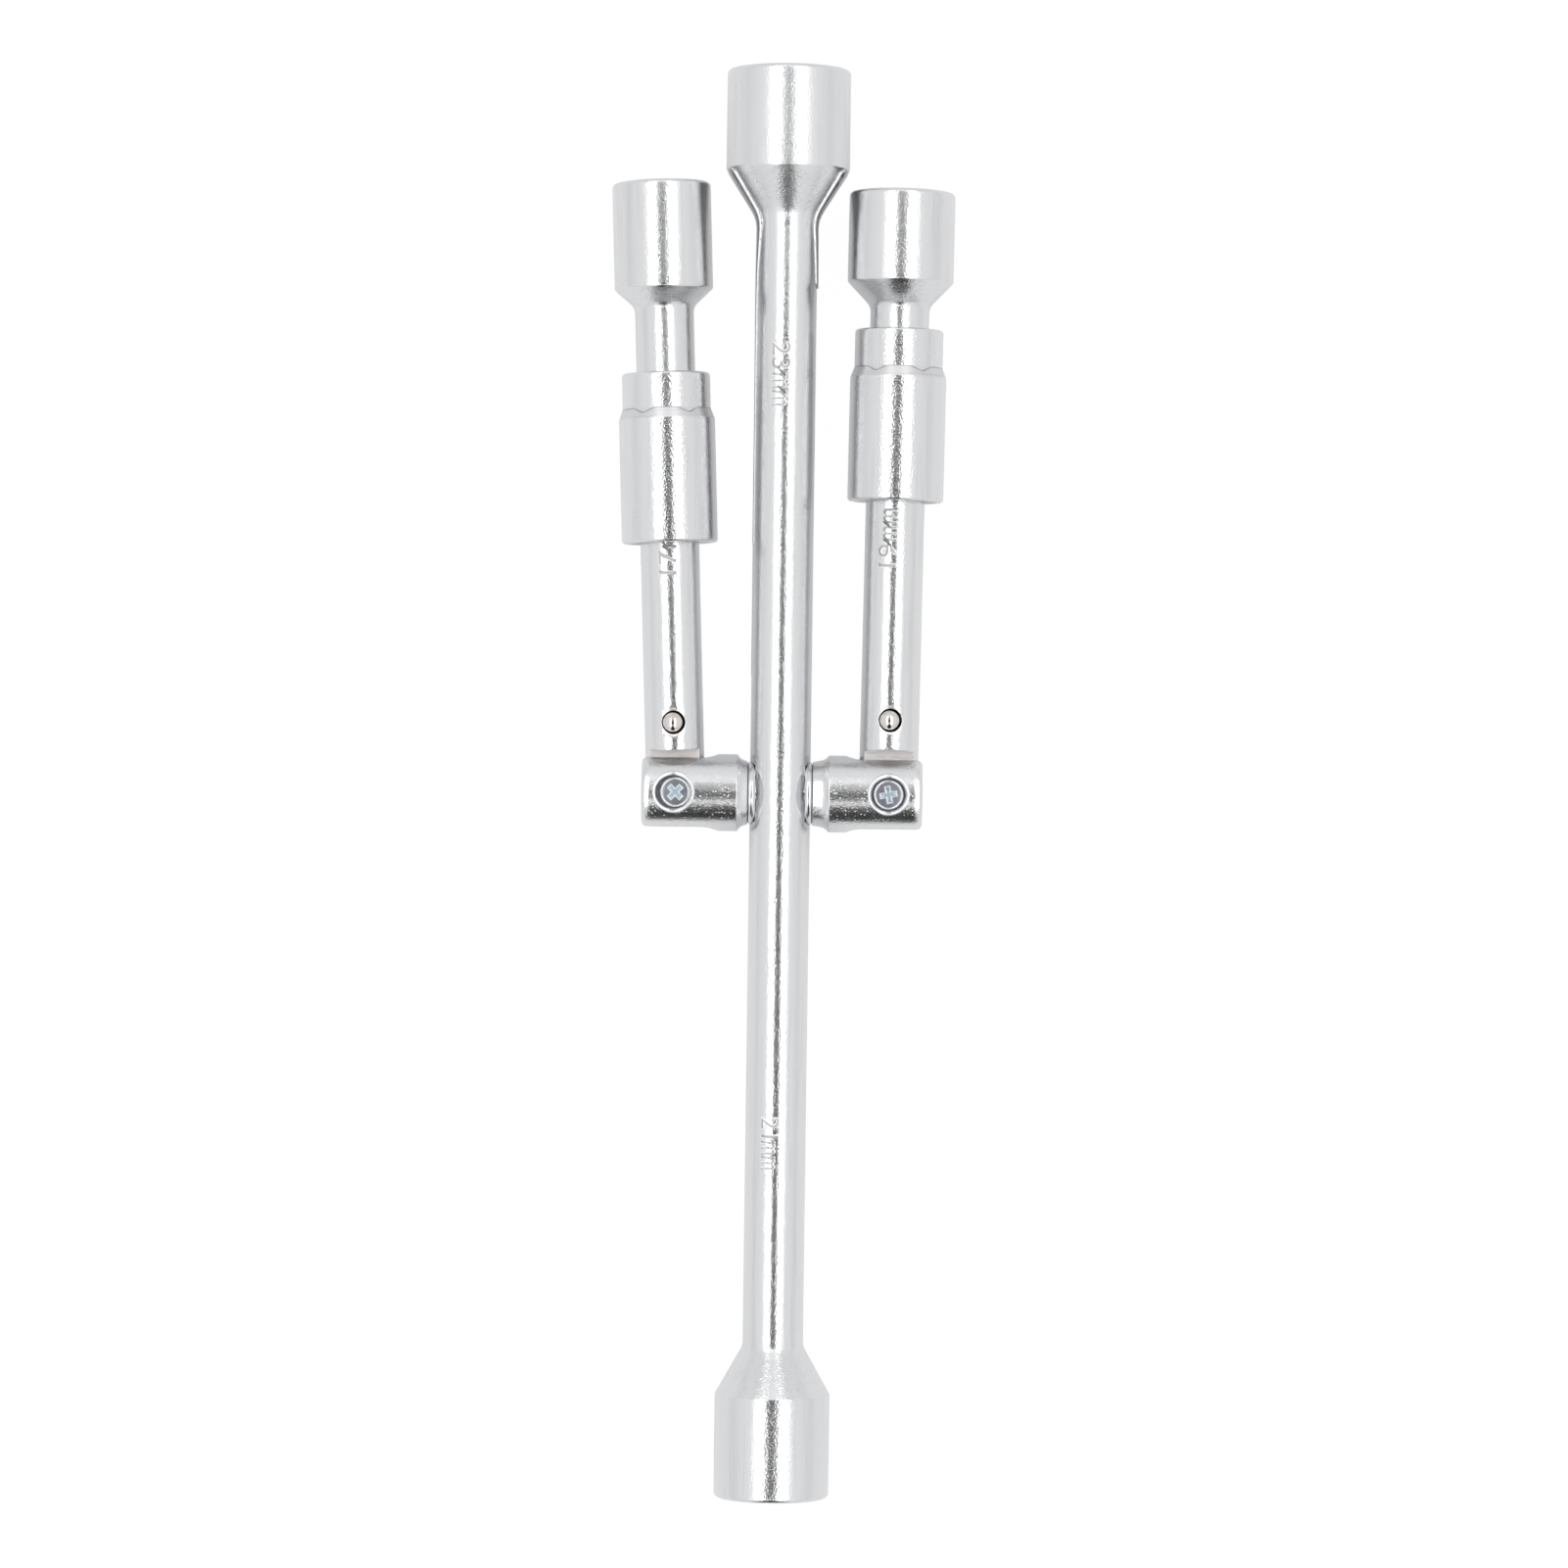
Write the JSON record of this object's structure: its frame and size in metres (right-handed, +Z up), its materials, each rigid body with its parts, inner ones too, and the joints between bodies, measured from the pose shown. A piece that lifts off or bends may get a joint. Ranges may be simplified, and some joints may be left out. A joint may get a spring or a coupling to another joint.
{
  "type": "folding cross lug wrench",
  "caption": "Chrome cross lug wrench with a hex socket on each end. Two arms fold against the main bar on fork hinges, each with a sliding lock sleeve and a spring ball.",
  "frame": {"origin": "bottom centre of the bounding box of the folded wrench lying flat, screw heads up", "axes": "+Y along the main bar towards its 23 mm socket, +X towards the right arm with the 19 mm socket, +Z up, out of the pivot screws' heads"},
  "size_m": [0.0876, 0.364, 0.0315],
  "materials": {
    "bar_chrome": "bright chrome plate over forged and turned steel, faint turning marks",
    "arm_chrome": "bright chrome plate, lightly scratched along its length",
    "sleeve_chrome": "bright chrome plate, the cone left as turned",
    "knuckle_chrome": "chrome plate, slightly pitted, the slot's faces as milled",
    "ring_chrome": "chrome plate, as turned",
    "screw_zinc": "bluish zinc plate, worn at the recess",
    "nut_zinc": "bluish zinc plate",
    "ball_steel": "polished ball",
    "spring_steel": "drawn wire"
  },
  "bodies": {
    "cross": {"main_bar": "bar_chrome", "left_weld_ring": "ring_chrome", "left_knuckle": "knuckle_chrome", "left_pivot_screw": "screw_zinc", "left_pivot_washer": "nut_zinc", "left_lock_washer": "nut_zinc", "left_pivot_nut": "nut_zinc", "right_weld_ring": "ring_chrome", "right_knuckle": "knuckle_chrome", "right_pivot_screw": "screw_zinc", "right_pivot_washer": "nut_zinc", "right_lock_washer": "nut_zinc", "right_pivot_nut": "nut_zinc"},
    "left_arm": {"left_arm": "arm_chrome", "left_detent_spring": "spring_steel"},
    "left_sleeve": {"left_lock_sleeve": "sleeve_chrome"},
    "left_ball": {"left_detent_ball": "ball_steel"},
    "right_arm": {"right_arm": "arm_chrome", "right_detent_spring": "spring_steel"},
    "right_sleeve": {"right_lock_sleeve": "sleeve_chrome"},
    "right_ball": {"right_detent_ball": "ball_steel"}
  },
  "joints": [
    {"name": "left_arm_fold", "type": "hinge", "parent": "cross", "child": "left_arm", "pos_m": [-0.02561, -0.0025, 0.01575], "axis": [0, 0, 1], "range_deg": [-1.7, 177]},
    {"name": "left_sleeve_slide", "type": "slide", "parent": "left_arm", "child": "left_sleeve", "axis": [-0.0366, 0.9993, 0], "range_m": [-0.0527, 0.0155]},
    {"name": "left_ball_press", "type": "slide", "parent": "left_arm", "child": "left_ball", "axis": [0, 0, -1], "range_m": [0, 0.001], "stiffness_N_per_m": 800, "springref_m": -0.001, "deforming": ["left_detent_spring"]},
    {"name": "right_arm_fold", "type": "hinge", "parent": "cross", "child": "right_arm", "pos_m": [0.02858, -0.0025, 0.01575], "axis": [0, 0, -1], "range_deg": [-0.5, 178.5]},
    {"name": "right_sleeve_slide", "type": "slide", "parent": "right_arm", "child": "right_sleeve", "axis": [0.0113, 0.9999, 0], "range_m": [-0.0639, 0.0045]},
    {"name": "right_ball_press", "type": "slide", "parent": "right_arm", "child": "right_ball", "axis": [0, 0, -1], "range_m": [0, 0.001], "stiffness_N_per_m": 800, "springref_m": -0.001, "deforming": ["right_detent_spring"]}
  ]
}
